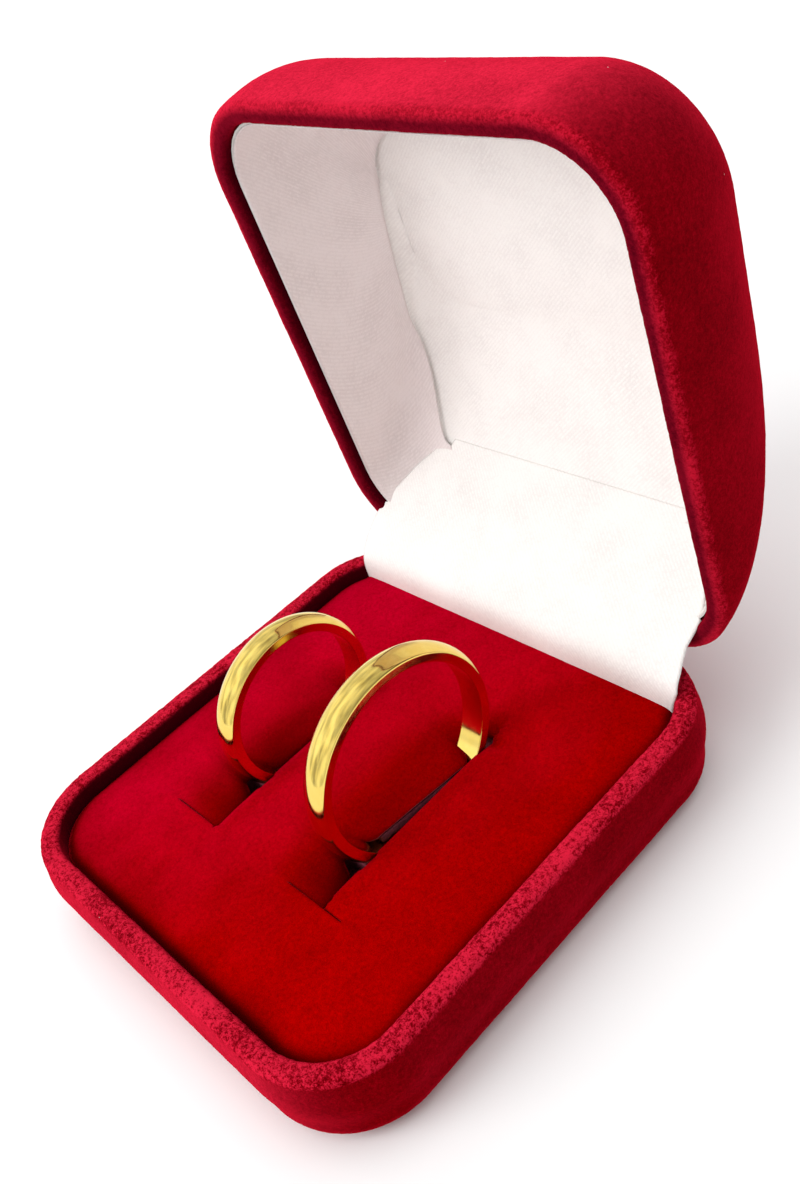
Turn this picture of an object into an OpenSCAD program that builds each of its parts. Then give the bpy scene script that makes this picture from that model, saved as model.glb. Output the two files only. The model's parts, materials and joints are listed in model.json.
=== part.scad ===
/* [Case] */
// Width of the case, left to right
case_w = 55; // [52:0.5:58]
// Depth of the case, front to back
case_d = 58.5; // [57:0.5:60]
// Height of the base
base_h = 11; // [11:0.25:12]
// Depth of the domed lid
lid_h = 19; // [18.75:0.25:20]
// Corner radius of the case, seen from above
corner_r = 10; // [9.5:0.25:10.5]
// Width of the velvet rim
rim_w = 2.25; // [2.2:0.05:2.5]
// Gap between the two rims when the lid is shut
rim_gap = 0.3; // [0.2:0.05:0.4]
// Angle of the lid when it stands open
open_angle = 85.5; // [84:0.5:88]

/* [Bands] */
// Inside diameter of the larger band
band_large_bore = 20.1; // [19:0.1:20.2]
// Inside diameter of the smaller band
band_small_bore = 16.7; // [15.5:0.1:18]
// Width of both bands
band_w = 3; // [2.5:0.1:3.5]
// Thickness of both bands at the crown
band_t = 1.6; // [1.4:0.05:1.7]
// How far the domed face of a band falls to its edge
band_dome = 0.6; // [0.3:0.05:0.8]
// Distance of the larger band to the right of the middle
band_large_x = 8.4; // [7.5:0.1:10]
// Distance of the smaller band to the left of the middle
band_small_x = 9.4; // [8:0.1:10]

/* [Ring pad] */
// How far the pad's face lies below the rim
pad_drop = 1.65; // [1.4:0.05:2]
// Distance from the rim's back edge to the pad's back edge
pad_back_gap = 5.65; // [5.4:0.05:6]
// Height above the table of the lowest point of both bands
seat_z = 4.15; // [4:0.05:4.4]

/* [Hinge] */
// Diameter of the hinge pin
pin_d = 1; // [0.8:0.1:1.1]
// Length of the hinge barrel
barrel_l = 26; // [20:1:28]

/* [Hidden] */
$fn = 64;

// Layers, from the outside in
velvet_t = 0.35;
sheet_t = 0.25;
base_floor_t = 1;
lid_wall_t = 0.8;
card_t = 0.25;
wadding_t = 0.3;
satin_t = 0.15;
layer_gap = 0.02;

// Outlines: each corner is an arc of this many steps
arc_steps = 8;
outline_points = 4 * (arc_steps + 1);
base_bulge = 0.5;
foot_r = 2.8;
foot_steps = 4;
wall_steps = 4;
rim_z = base_h - rim_gap / 2;
rim_round = 0.55;
rim_shoulder = 0.16;
tuck_depth = 4;
turn_in = 5;
floor_fillet = 1.5;

// The lid's dome: how far each wall leans in by the top, and how full its curve is
lid_bulge = 0.83;
dome_steps = 9;
dome_side = [6.1, 1.5];
dome_front = [13.5, 2.4];
dome_back = [26, 1.45];
dome_corner_growth = -0.9;
lid_rim = rim_gap / 2;
lid_flange_top = 4.2;
lid_wall_from = 5.6;
lid_inner_t = velvet_t + lid_wall_t;

// Ring pad
pad_top = base_h - pad_drop;
pad_skin_t = 0.45;
floor_z = sheet_t + velvet_t + base_floor_t;
pad_board_t = 0.6;
pad_inset = rim_w + 0.15;
pad_y_back = case_d / 2 - pad_back_gap;
slot_clear = 0.15;
slot_y = 0.9;
slit_w = 0.5;
slit_front = 14.3;
slit_aside = 1.1;
cross_large = [-3.7, 4.7];
cross_small = [-5.4, 1.35];

// Hinge: the pin lies on the back edge, in the plane where the rims meet
hinge_y = case_d / 2;
pin_clear = 0.05;
knuckle_wall = 0.55;
knuckle_r = pin_d / 2 + pin_clear + knuckle_wall;
knuckle_count = 5;
knuckle_gap = 0.15;
leaf_t = 0.4;
leaf_l = barrel_l - 2;
leaf_drop = 6.5;
leaf_back = rim_w - velvet_t + layer_gap;
web_z = 0.35;
notch_clear = 0.3;
notch_depth = 0.85;
lid_leaf_tilt = 24.8;
rivet_r = 0.6;
rivet_head_r = 1.1;
rivet_head_t = 0.35;
rivet_bite = 0.55;
rivet_xs = [-10, -6, 6, 10];
rivet_drop = 5.2;
spring_w = 7;
spring_t = 0.25;

// Lining of the lid
lining_t = rim_w + 0.22;
side_satin_at = lining_t + card_t + 0.08;
side_from = 1.3;
side_steps = 6;
crease_front = 15.3;
crease_side = 14.3;
crease_drop = 4.7;
crease_gap = 0.5;
top_steps = 7;
top_card_at = lid_inner_t + 0.2;
wadding_at = top_card_at + card_t + 2 * layer_gap;
satin_at = wadding_at + wadding_t + 2 * layer_gap;
leaf_room = barrel_l + 2;
lining_cut = 7;

// Hinge flap: ends on the pad's back edge and on the slope of the lid
flap_w = 49;
flap_t = 0.3;
flap_lid = [-10.7, 9.2];
flap_steps = 14;
flap_edge = [[23.3, -6], [24.2, -1.6], [23.1, 1.2], [21.4, 4], [19.2, 7], [18, 8.6]];
flap_curve = [
    [0.3 - pad_back_gap, -pad_drop + 0.1], [0.2 - pad_back_gap, 2.6], [1.5, 6.2], opened(flap_lid)
];

// ---- outlines -------------------------------------------------------------

// Rounded rectangle from x = -half_x to half_x and y = y0 to y1, at height z
function loop(half_x, y0, y1, r, z) = [
    for (c = [[1, 1, 0], [-1, 1, 90], [-1, -1, 180], [1, -1, 270]])
    for (i = [0:arc_steps])
    let (a = c[2] + 90 * i / arc_steps)
    [c[0] * (half_x - r) + r * cos(a), (c[1] > 0 ? y1 - r : y0 + r) + r * sin(a), z]
];

// Outline of the case, grown by o, at height z
function case_loop(o, z) =
    loop(case_w / 2 + o, -case_d / 2 - o, case_d / 2 + o, max(corner_r + o, 1), z);

// Swell of the base's wall at height z, none at the foot and at the rim
function swell(z) = base_bulge * pow(sin(180 * (z - sheet_t - foot_r) / (rim_z - sheet_t - foot_r)), 2);

// Outlines of a base layer t below the outer face, from its flat bottom up to height z1
function base_layer(t, z1) = concat(
    [for (i = [0:foot_steps]) let (a = 90 * i / foot_steps)
        case_loop((foot_r - t) * sin(a) - foot_r, sheet_t + foot_r - (foot_r - t) * cos(a))],
    [for (i = [1:wall_steps]) let (z = sheet_t + foot_r + (z1 - sheet_t - foot_r) * i / wall_steps)
        case_loop(swell(z) - t, z)]
);

// How far a curve [lean, fullness] has leaned in at the share s of its height
function lean(s, curve, t) =
    (curve[0] - t) * (1 - pow(max(1 - pow(s, curve[1]), 0), 1 / curve[1]));

// Outline of the lid's dome at height w, t below its outer face.
// The lid is drawn shut, with the hinge line at y = 0 and the rim plane at z = 0.
function dome_at(t, w) =
    let (s = w / (lid_h - t), out = lid_bulge * sin(180 * s) - t)
    loop(
        case_w / 2 + out - lean(s, dome_side, t),
        lean(s, dome_front, t) - case_d - out,
        out - lean(s, dome_back, t),
        corner_r - t + dome_corner_growth * s,
        w
    );
function dome_w(t, i) = (lid_h - t) * sin(90 * i / dome_steps);

// Outlines of a dome layer from its top down to step i0, or up from step i0 to its top
function dome_down(t, i0) = [for (i = [dome_steps:-1:i0]) dome_at(t, dome_w(t, i))];
function dome_up(t, i0) = [for (i = [i0:dome_steps]) dome_at(t, dome_w(t, i))];

// Height of the crease between the lid's side and top lining, at point k of an outline.
// It runs down round the back corners to the slope above the hinge.
function crease_w(k) =
    let (corner = floor(k / (arc_steps + 1)), a = 90 * (k % (arc_steps + 1)) / arc_steps)
    corner > 1 ? crease_front
               : crease_side - crease_drop * pow(sin(corner == 0 ? a : 90 - a), 4);

// Outlines in layer t of the lid: the share s of the way from the crease to the top of the
// dome, and from the lining's lower edge to the crease
function top_ring(t, s) = [for (k = [0:outline_points - 1])
    let (w0 = crease_w(k)) dome_at(t, w0 + (lid_h - t - w0) * s)[k]];
function side_ring(t, s) = [for (k = [0:outline_points - 1])
    dome_at(t, side_from + (crease_w(k) - crease_gap - side_from) * s)[k]];

// A dish under the top of the dome, from layer t0 to layer t1, with its edge at the crease
module dome_dish(t0, t1) {
    skin(concat(
        [for (i = [top_steps:-1:0]) top_ring(t1, sin(90 * i / top_steps))],
        [for (i = [0:top_steps]) top_ring(t0, sin(90 * i / top_steps))]
    ));
}

// Cross-section of a strip t thick along the points of a path
function strip(path, t) = concat(path, [for (i = [len(path) - 1:-1:0]) path[i] + t * side_of(path, i)]);
function side_of(path, i) =
    let (
        d = path[min(i + 1, len(path) - 1)] - path[max(i - 1, 0)]
    )
    [-d[1], d[0]] / norm(d);
function curve_point(p, u) =
    pow(1 - u, 3) * p[0] + 3 * pow(1 - u, 2) * u * p[1] + 3 * (1 - u) * u * u * p[2] + pow(u, 3) * p[3];
function curve_path(p, n) = [for (i = [0:n]) curve_point(p, i / n)];

// Where a point (y, w) of the shut lid lies about the hinge when the lid is open
function opened(p) = [
    p[0] * cos(open_angle) + p[1] * sin(open_angle),
    p[1] * cos(open_angle) - p[0] * sin(open_angle)
];

// ---- solids from outlines -------------------------------------------------

// Closed solid through a stack of outlines, capped at both ends. The outlines go up the
// outer face and down the inner one, or the other way round with the opening below.
module skin(loops) {
    n = len(loops[0]);
    m = len(loops);
    polyhedron(
        points = [for (l = loops) for (p = l) p],
        faces = concat(
            [[for (i = [0:n - 1]) i]],
            [[for (i = [n - 1:-1:0]) (m - 1) * n + i]],
            [for (k = [0:m - 2]) for (i = [0:n - 1]) each quad(k * n, (k + 1) * n, i, (i + 1) % n)]
        ),
        convexity = 8
    );
}

// Closed band through a ring of outlines
module hoop(loops) {
    n = len(loops[0]);
    m = len(loops);
    polyhedron(
        points = [for (l = loops) for (p = l) p],
        faces = [for (k = [0:m - 1]) for (i = [0:n - 1])
            each quad(k * n, (k + 1) % m * n, i, (i + 1) % n)],
        convexity = 8
    );
}
function quad(a, b, i, j) = [[a + i, b + j, a + j], [a + i, b + i, b + j]];

// Rounded rectangle of the case, grown by o, with true arcs
module case_plan(o) {
    r = corner_r + o;
    square([case_w + 2 * o - 2 * r, case_d + 2 * o], center = true);
    square([case_w + 2 * o, case_d + 2 * o - 2 * r], center = true);
    for (x = [-1, 1]) for (y = [-1, 1])
        translate([x * (case_w / 2 + o - r), y * (case_d / 2 + o - r)])
            circle(r);
}

// Extrudes an outline drawn in (y, z) along x, centred on x = 0
module along_x(length) {
    translate([-length / 2, 0, 0])
        rotate([90, 0, 90])
            linear_extrude(length)
                children();
}

// Puts what is drawn about the hinge line into place: base side, and lid side when open
module at_hinge() {
    translate([0, hinge_y, base_h])
        children();
}
module in_lid() {
    at_hinge()
        rotate([-open_angle, 0, 0])
            children();
}

// Room for the barrel and the leaf's web in a rim; side is -1 for the base and 1 for the lid
module hinge_notch(side) {
    l = barrel_l + 2 * notch_clear;
    rotate([0, 90, 0])
        translate([0, 0, -l / 2])
            cylinder(r = knuckle_r + notch_clear, h = l);
    z0 = side > 0 ? -1 : -notch_depth;
    translate([-l / 2, -rim_w - 0.5, z0])
        cube([l, rim_w + 2, 1 + notch_depth]);
}

// ---- base -----------------------------------------------------------------

module base_shell() color("darkred") {
    wall_top = rim_z - velvet_t;
    inner = velvet_t - rim_w;
    difference() {
        skin(concat(
            base_layer(velvet_t, wall_top),
            [
                case_loop(inner, wall_top),
                case_loop(inner, floor_z + floor_fillet),
                case_loop(inner - floor_fillet / 3, floor_z + floor_fillet / 3),
                case_loop(inner - floor_fillet, floor_z)
            ]
        ));
        at_hinge() hinge_notch(-1);
    }
}

module base_velvet_cover() color("crimson") {
    inner = velvet_t - rim_w;
    turn = -foot_r - turn_in;
    under = reversed(base_layer(velvet_t, rim_z - velvet_t));
    difference() {
        hoop(concat(
            [case_loop(turn, sheet_t)],
            base_layer(0, rim_z - rim_round),
            [
                case_loop(-rim_shoulder, rim_z - rim_shoulder),
                case_loop(-rim_round, rim_z),
                case_loop(rim_round - rim_w, rim_z),
                case_loop(rim_shoulder - rim_w, rim_z - rim_shoulder),
                case_loop(-rim_w, rim_z - rim_round),
                case_loop(-rim_w, rim_z - tuck_depth),
                case_loop(inner, rim_z - tuck_depth),
                case_loop(inner, rim_z - velvet_t)
            ],
            under,
            [case_loop(turn, sheet_t + velvet_t)]
        ));
        at_hinge() hinge_notch(-1);
        at_hinge()
            translate([-leaf_room / 2, -rim_w - 0.5, -tuck_depth - 1])
                cube([leaf_room, 0.5 + velvet_t + layer_gap, tuck_depth + 1]);
    }
}
function reversed(list) = [for (i = [len(list) - 1:-1:0]) list[i]];

module base_underside_sheet() color("black")
    linear_extrude(sheet_t)
        case_plan(-foot_r - 0.3);

// ---- ring pad -------------------------------------------------------------

module pad_plan() {
    intersection() {
        case_plan(-pad_inset);
        translate([-case_w / 2, -case_d / 2])
            square([case_w, case_d / 2 + pad_y_back]);
    }
}

// Room in the pad for one band, with the slit and cross cut in front of it. The slit runs
// along the band's right side, and the cross cut spans these two places beside the band.
module band_slot(bore, x, cross) {
    r = bore / 2 + band_t;
    w = band_w + 2 * slot_clear;
    translate([x - w / 2, slot_y, seat_z + r])
        rotate([0, 90, 0])
            cylinder(r = r + slot_clear, h = w, $fn = 96);
    translate([x + slit_aside - slit_w / 2, -slit_front, seat_z])
        cube([slit_w, slit_front, base_h]);
    translate([x + cross[0], -slit_front - slit_w, seat_z])
        cube([cross[1] - cross[0], slit_w, base_h]);
}
module band_slots() {
    band_slot(band_large_bore, band_large_x, cross_large);
    band_slot(band_small_bore, -band_small_x, cross_small);
}

module pad_board() color("tan")
    translate([0, 0, floor_z + layer_gap])
        linear_extrude(pad_board_t)
            offset_plan(floor_fillet);
module offset_plan(o) {
    intersection() {
        case_plan(-pad_inset - o);
        translate([-case_w / 2, -case_d / 2])
            square([case_w, case_d / 2 + pad_y_back - o]);
    }
}

module ring_pad_foam() color("rosybrown")
    difference() {
        z0 = floor_z + pad_board_t + 2 * layer_gap;
        translate([0, 0, z0])
            linear_extrude(pad_top - pad_skin_t - z0)
                offset_plan(floor_fillet / 2);
        band_slots();
    }

module ring_pad_velvet() color("red")
    difference() {
        translate([0, 0, pad_top - pad_skin_t])
            linear_extrude(pad_skin_t)
                pad_plan();
        band_slots();
    }

// ---- hinge ----------------------------------------------------------------

// Knuckles first, first + 2, ... of the barrel, on webs that run towards the leaf
module knuckles(first, side) {
    pitch = barrel_l / knuckle_count;
    for (k = [first:2:knuckle_count - 1])
        translate([-barrel_l / 2 + pitch * k + knuckle_gap / 2, 0, 0])
            difference() {
                union() {
                    rotate([0, 90, 0])
                        cylinder(r = knuckle_r, h = pitch - knuckle_gap);
                    translate([0, -leaf_back - leaf_t, side > 0 ? web_z : -web_z - leaf_t])
                        cube([pitch - knuckle_gap, leaf_back + leaf_t, leaf_t]);
                }
                translate([-1, 0, 0])
                    rotate([0, 90, 0])
                        cylinder(r = pin_d / 2 + pin_clear, h = pitch + 2);
            }
}

module hinge_leaf_base() color("silver")
    at_hinge() {
        knuckles(0, -1);
        difference() {
            translate([-leaf_l / 2, -leaf_back - leaf_t, -leaf_drop])
                cube([leaf_l, leaf_t, leaf_drop - web_z]);
            for (x = rivet_xs)
                translate([x, -leaf_back - leaf_t - 1, -rivet_drop])
                    rotate([-90, 0, 0])
                        cylinder(r = rivet_r, h = leaf_t + 2);
        }
    }

module in_lid_leaf() {
    translate([0, -leaf_back, web_z])
        rotate([lid_leaf_tilt, 0, 0])
            children();
}

module hinge_leaf_lid() color("silver")
    in_lid() {
        knuckles(1, 1);
        in_lid_leaf()
            difference() {
                translate([-leaf_l / 2, -leaf_t, 0])
                    cube([leaf_l, leaf_t, leaf_drop]);
                for (x = rivet_xs)
                    translate([x, -leaf_t - 1, rivet_drop])
                        rotate([-90, 0, 0])
                            cylinder(r = rivet_r, h = leaf_t + 2);
            }
    }

// One rivet, its head on the leaf's face at y = 0 and its shank towards +y
module rivet(length) {
    rotate([-90, 0, 0])
        cylinder(r = rivet_r, h = length);
    translate([0, -rivet_head_t, 0])
        rotate([-90, 0, 0])
            cylinder(r = rivet_head_r, h = rivet_head_t);
}

module hinge_rivets_base() color("gray")
    at_hinge()
        for (x = rivet_xs)
            translate([x, -leaf_back - leaf_t, -rivet_drop])
                rivet(leaf_t + rivet_bite);

module hinge_rivets_lid() color("gray")
    in_lid()
        in_lid_leaf()
            for (x = rivet_xs)
                translate([x, -leaf_t, rivet_drop])
                    rivet(leaf_t + rivet_bite);

module hinge_pin() color("silver")
    at_hinge()
        rotate([0, 90, 0])
            cylinder(r = pin_d / 2, h = barrel_l, center = true);

// Bow spring between the two leaves, drawn with the lid open
module hinge_spring() color("lightsteelblue")
    at_hinge()
        along_x(spring_w)
            polygon(strip(curve_path([
                [-leaf_back - leaf_t - 0.35, -4.2], [-5.2, 1.5], [-1.6, 3.4], opened([-5.2, 5.2])
            ], flap_steps), spring_t));

// ---- hinge flap -----------------------------------------------------------

module satin_hinge_flap() color("ivory")
    at_hinge()
        intersection() {
            along_x(flap_w)
                polygon(strip(curve_path(flap_curve, flap_steps), flap_t));
            translate([0, 0, -base_h])
                linear_extrude(base_h + lid_h + case_d)
                    flap_plan();
        }

// Plan of the flap: widest over the hinge, and narrower up the slope between the lid's corners
module flap_plan()
    polygon(concat(flap_edge, [for (p = reversed(flap_edge)) [-p[0], p[1]]]));

// ---- lid ------------------------------------------------------------------

module lid_shell() color("darkred")
    in_lid() {
        rim = lid_rim + velvet_t;
        difference() {
            skin(concat(
                dome_down(lid_inner_t, 3),
                [
                    dome_at(lid_inner_t, lid_wall_from),
                    dome_at(rim_w - velvet_t, lid_flange_top),
                    dome_at(rim_w - velvet_t, tuck_depth),
                    dome_at(rim_w - velvet_t, rim),
                    dome_at(velvet_t, rim)
                ],
                dome_up(velvet_t, 1)
            ));
            hinge_notch(1);
        }
    }

module lid_velvet_cover() color("crimson")
    in_lid()
        difference() {
            skin(concat(
                dome_down(velvet_t, 1),
                [
                    dome_at(velvet_t, lid_rim + velvet_t),
                    dome_at(rim_w - velvet_t, lid_rim + velvet_t),
                    dome_at(rim_w - velvet_t, tuck_depth),
                    dome_at(rim_w, tuck_depth),
                    dome_at(rim_w, lid_rim + rim_round),
                    dome_at(rim_w - rim_shoulder, lid_rim + rim_shoulder),
                    dome_at(rim_w - rim_round, lid_rim),
                    dome_at(rim_round, lid_rim),
                    dome_at(rim_shoulder, lid_rim + rim_shoulder),
                    dome_at(0, lid_rim + rim_round)
                ],
                dome_up(0, 1)
            ));
            hinge_notch(1);
            lid_leaf_room(rim_w + 2.2, tuck_depth + 0.1);
        }

// Space for the lid's leaf, from the shell inwards as far as y = -reach and up to z = top
module lid_leaf_room(reach, top) {
    translate([-leaf_room / 2, -reach, 0])
        cube([leaf_room, reach - leaf_back + layer_gap, top]);
}

// Band of lining round the side of the lid, from layer t to layer t + thick
module lining_band(t, thick) {
    difference() {
        hoop(concat(
            [for (i = [side_steps:-1:0]) side_ring(t + thick, i / side_steps)],
            [for (i = [0:side_steps]) side_ring(t, i / side_steps)]
        ));
        lid_leaf_room(lining_cut, lining_cut);
    }
}

module lid_side_card() color("tan")
    in_lid() lining_band(lining_t, card_t);

module lid_side_satin() color("ivory")
    in_lid() lining_band(side_satin_at, satin_t);

module lid_top_card() color("tan")
    in_lid() dome_dish(top_card_at, top_card_at + card_t);

module lid_top_wadding() color("white")
    in_lid() dome_dish(wadding_at, wadding_at + wadding_t);

module lid_top_satin() color("ivory")
    in_lid() dome_dish(satin_at, satin_at + satin_t);

// ---- bands ----------------------------------------------------------------

// D-section band standing on the seat, its axis along x
module band(bore, x) {
    r = bore / 2;
    crown_r = (pow(band_w / 2, 2) + pow(band_dome, 2)) / (2 * band_dome);
    translate([x, slot_y, seat_z + r + band_t])
        rotate([0, 90, 0])
            rotate_extrude($fn = 128)
                intersection() {
                    translate([r, -band_w / 2])
                        square([band_t, band_w]);
                    translate([r + band_t - crown_r, 0])
                        circle(crown_r);
                }
}

module band_large() color("gold") band(band_large_bore, band_large_x);
module band_small() color("gold") band(band_small_bore, -band_small_x);

base_shell();
base_velvet_cover();
base_underside_sheet();
pad_board();
ring_pad_foam();
ring_pad_velvet();
hinge_leaf_base();
hinge_rivets_base();
hinge_pin();
hinge_spring();
satin_hinge_flap();
lid_shell();
lid_velvet_cover();
hinge_leaf_lid();
hinge_rivets_lid();
lid_top_card();
lid_top_wadding();
lid_top_satin();
lid_side_card();
lid_side_satin();
band_large();
band_small();
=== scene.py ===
import json
import math

import bmesh
import bpy
import numpy as np
from mathutils import Matrix, Vector, noise
from mathutils.geometry import delaunay_2d_cdt

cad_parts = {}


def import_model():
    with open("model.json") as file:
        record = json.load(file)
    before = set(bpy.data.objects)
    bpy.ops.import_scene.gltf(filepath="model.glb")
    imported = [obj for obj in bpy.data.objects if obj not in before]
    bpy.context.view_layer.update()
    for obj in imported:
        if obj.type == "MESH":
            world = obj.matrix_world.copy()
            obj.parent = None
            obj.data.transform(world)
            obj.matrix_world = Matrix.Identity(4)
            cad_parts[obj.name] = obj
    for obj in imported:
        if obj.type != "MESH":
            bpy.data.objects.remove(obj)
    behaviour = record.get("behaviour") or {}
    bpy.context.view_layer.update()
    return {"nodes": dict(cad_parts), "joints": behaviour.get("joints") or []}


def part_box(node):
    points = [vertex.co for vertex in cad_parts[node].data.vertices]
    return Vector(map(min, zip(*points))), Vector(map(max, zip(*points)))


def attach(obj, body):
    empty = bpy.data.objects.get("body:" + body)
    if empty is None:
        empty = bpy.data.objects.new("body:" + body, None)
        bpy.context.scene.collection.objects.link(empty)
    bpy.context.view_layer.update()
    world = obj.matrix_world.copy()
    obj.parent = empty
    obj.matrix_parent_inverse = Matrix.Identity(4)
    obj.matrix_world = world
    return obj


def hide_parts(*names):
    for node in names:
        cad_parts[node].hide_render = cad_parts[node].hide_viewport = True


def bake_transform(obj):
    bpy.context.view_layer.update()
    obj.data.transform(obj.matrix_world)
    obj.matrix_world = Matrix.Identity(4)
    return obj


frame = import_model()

# Lengths are in millimetres until a mesh is made, which turns them into metres.
MM = 0.001

# ---- sizes read from the frame ------------------------------------------------


def box_mm(node):
    """Lowest and highest corner of a CAD node, in millimetres."""
    low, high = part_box(node)
    return np.array(low) / MM, np.array(high) / MM


def middle_mm(node):
    low, high = box_mm(node)
    return (low + high) / 2


def vertices_mm(node):
    return np.array([v.co for v in frame["nodes"][node].data.vertices]) / MM


FOOT_R = 2.8
SHEET_INSET = 0.3
HINGE_Y, HINGE_Z = middle_mm("hinge_pin")[1:]
SHEET_T = box_mm("base_underside_sheet")[1][2]
CASE_W = 2 * (box_mm("base_underside_sheet")[1][0] + FOOT_R + SHEET_INSET)
CASE_D = 2 * HINGE_Y
RIM_Z = box_mm("base_velvet_cover")[1][2]
OPEN = math.radians(frame["joints"][0]["range_deg"][1])
BARREL_L = 2 * box_mm("hinge_pin")[1][0]


def opened(points):
    """Points drawn about the hinge line with the lid shut, moved to where they are with it open."""
    p = np.array(points, float)
    y = p[..., 1] * math.cos(OPEN) + p[..., 2] * math.sin(OPEN)
    z = p[..., 2] * math.cos(OPEN) - p[..., 1] * math.sin(OPEN)
    return np.stack([p[..., 0], y + HINGE_Y, z + HINGE_Z], -1)


def shut(points):
    """The other way round: points on the open lid, about the hinge line with the lid shut."""
    y, z = points[:, 1] - HINGE_Y, points[:, 2] - HINGE_Z
    return np.stack([
        points[:, 0],
        y * math.cos(OPEN) - z * math.sin(OPEN),
        z * math.cos(OPEN) + y * math.sin(OPEN),
    ], -1)


LID_H = shut(vertices_mm("lid_velvet_cover"))[:, 2].max()

# The case's outline and layers, as the CAD has them
CORNER_R = 10
RIM_W = 2.25
BASE_BULGE = 0.5
VELVET_T = 0.35
TUCK_DEPTH = 4
TURN_IN = 5
LID_BULGE = 0.83
DOME_SIDE = (6.1, 1.5)
DOME_FRONT = (13.5, 2.4)
DOME_BACK = (26, 1.45)
DOME_CORNER_GROWTH = -0.9
LID_RIM = HINGE_Z - RIM_Z
NOTCH_L = BARREL_L + 0.6
NOTCH_DEPTH = 0.85
NOTCH_R = 1.4
LEAF_ROOM = BARREL_L + 2

# ---- outlines -----------------------------------------------------------------

ARC_STEPS = 52
SIDE_X_STEPS = 116
SIDE_Y_STEPS = 128
CORNERS = ((1, 1), (-1, 1), (-1, -1), (1, -1))


def outline_shares():
    """How each point of an outline depends on its sizes: x = A (half_x - r) + B r, and
    y = P (y1 - r) + (1 - P)(y0 + r) + S r. Counterclockwise, from the right side's back end."""
    shares, corner_at = [], []
    for k, (sx, sy) in enumerate(CORNERS):
        nx, ny = CORNERS[(k + 1) % 4]
        a = np.radians(90 * k + 90 * np.linspace(0, 1, ARC_STEPS + 1))
        for angle in a:
            shares.append((sx, math.cos(angle), (sy + 1) / 2, math.sin(angle)))
            corner_at.append((k, (angle - a[0]) / (a[-1] - a[0])))
        steps = SIDE_Y_STEPS if k % 2 else SIDE_X_STEPS
        for u in np.arange(1, steps) / steps:
            shares.append((
                sx + u * (nx - sx), math.cos(a[-1]), (sy + u * (ny - sy) + 1) / 2, math.sin(a[-1])
            ))
            corner_at.append((k, 1 + u))
    return np.array(shares).T, np.array(corner_at).T


SHARES, CORNER_AT = outline_shares()


def loop(half_x, y0, y1, r, z):
    """Rounded rectangle; each size is one number, or one for each point."""
    across, cosine, back, sine = SHARES
    x = across * (half_x - r) + cosine * r
    y = back * (y1 - r) + (1 - back) * (y0 + r) + sine * r
    return np.stack([x, y, z + np.zeros(len(x))], -1)


def case_loop(o, z):
    """Outline of the case, grown by o, at height z."""
    return loop(CASE_W / 2 + o, -CASE_D / 2 - o, CASE_D / 2 + o, max(CORNER_R + o, 1), z)


def swell(z):
    low = SHEET_T + FOOT_R
    return BASE_BULGE * math.sin(math.pi * (z - low) / (RIM_Z - low)) ** 2


def lean(s, curve, t):
    return (curve[0] - t) * (1 - np.maximum(1 - s ** curve[1], 0) ** (1 / curve[1]))


def dome_at(t, w):
    """Outline of the lid's dome at height w, t below its outer face, with the lid shut."""
    s = np.clip(np.asarray(w, float) / (LID_H - t), 0, 1)
    out = LID_BULGE * np.sin(math.pi * s) - t
    return loop(
        CASE_W / 2 + out - lean(s, DOME_SIDE, t),
        lean(s, DOME_FRONT, t) - CASE_D - out,
        out - lean(s, DOME_BACK, t),
        CORNER_R - t + DOME_CORNER_GROWTH * s,
        w,
    )


# ---- meshes -------------------------------------------------------------------


def tube_faces(rows, n, close=False):
    """Quads between rings of n points each, and from the last ring back to the first."""
    i = np.arange(n)
    j = (i + 1) % n
    pairs = [(k, k + 1) for k in range(rows - 1)] + ([(rows - 1, 0)] if close else [])
    return np.concatenate([np.stack([a * n + i, a * n + j, b * n + j, b * n + i], -1) for a, b in pairs])


def patch(ring, first, start):
    """Quads that fill a ring whose points start at index first; new points start at index start."""
    half, nx, ny = ARC_STEPS // 2, ARC_STEPS + SIDE_X_STEPS, ARC_STEPS + SIDE_Y_STEPS
    n = len(ring)
    ids = np.empty((ny + 1, nx + 1), int)
    top = (half + np.arange(nx + 1)) % n
    left = (half + nx + np.arange(ny + 1)) % n
    bottom = (half + nx + ny + np.arange(nx + 1)) % n
    right = (half + 2 * nx + ny + np.arange(ny + 1)) % n
    u = np.linspace(0, 1, nx + 1)[None, :, None]
    v = np.linspace(0, 1, ny + 1)[:, None, None]
    t, b = ring[top][None], ring[bottom[::-1]][None]
    l, r = ring[left][:, None], ring[right[::-1]][:, None]
    points = (1 - v) * t + v * b + (1 - u) * r + u * l - (
        (1 - u) * (1 - v) * t[:, :1] + u * (1 - v) * t[:, -1:] + (1 - u) * v * b[:, :1] + u * v * b[:, -1:]
    )
    ids[0], ids[-1], ids[:, 0], ids[:, -1] = first + top, first + bottom[::-1], first + right[::-1], first + left
    inner = (ny - 1) * (nx - 1)
    ids[1:-1, 1:-1] = start + np.arange(inner).reshape(ny - 1, nx - 1)
    faces = np.stack([ids[:-1, :-1], ids[:-1, 1:], ids[1:, 1:], ids[1:, :-1]], -1).reshape(-1, 4)
    return points[1:-1, 1:-1].reshape(-1, 3), faces


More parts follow.
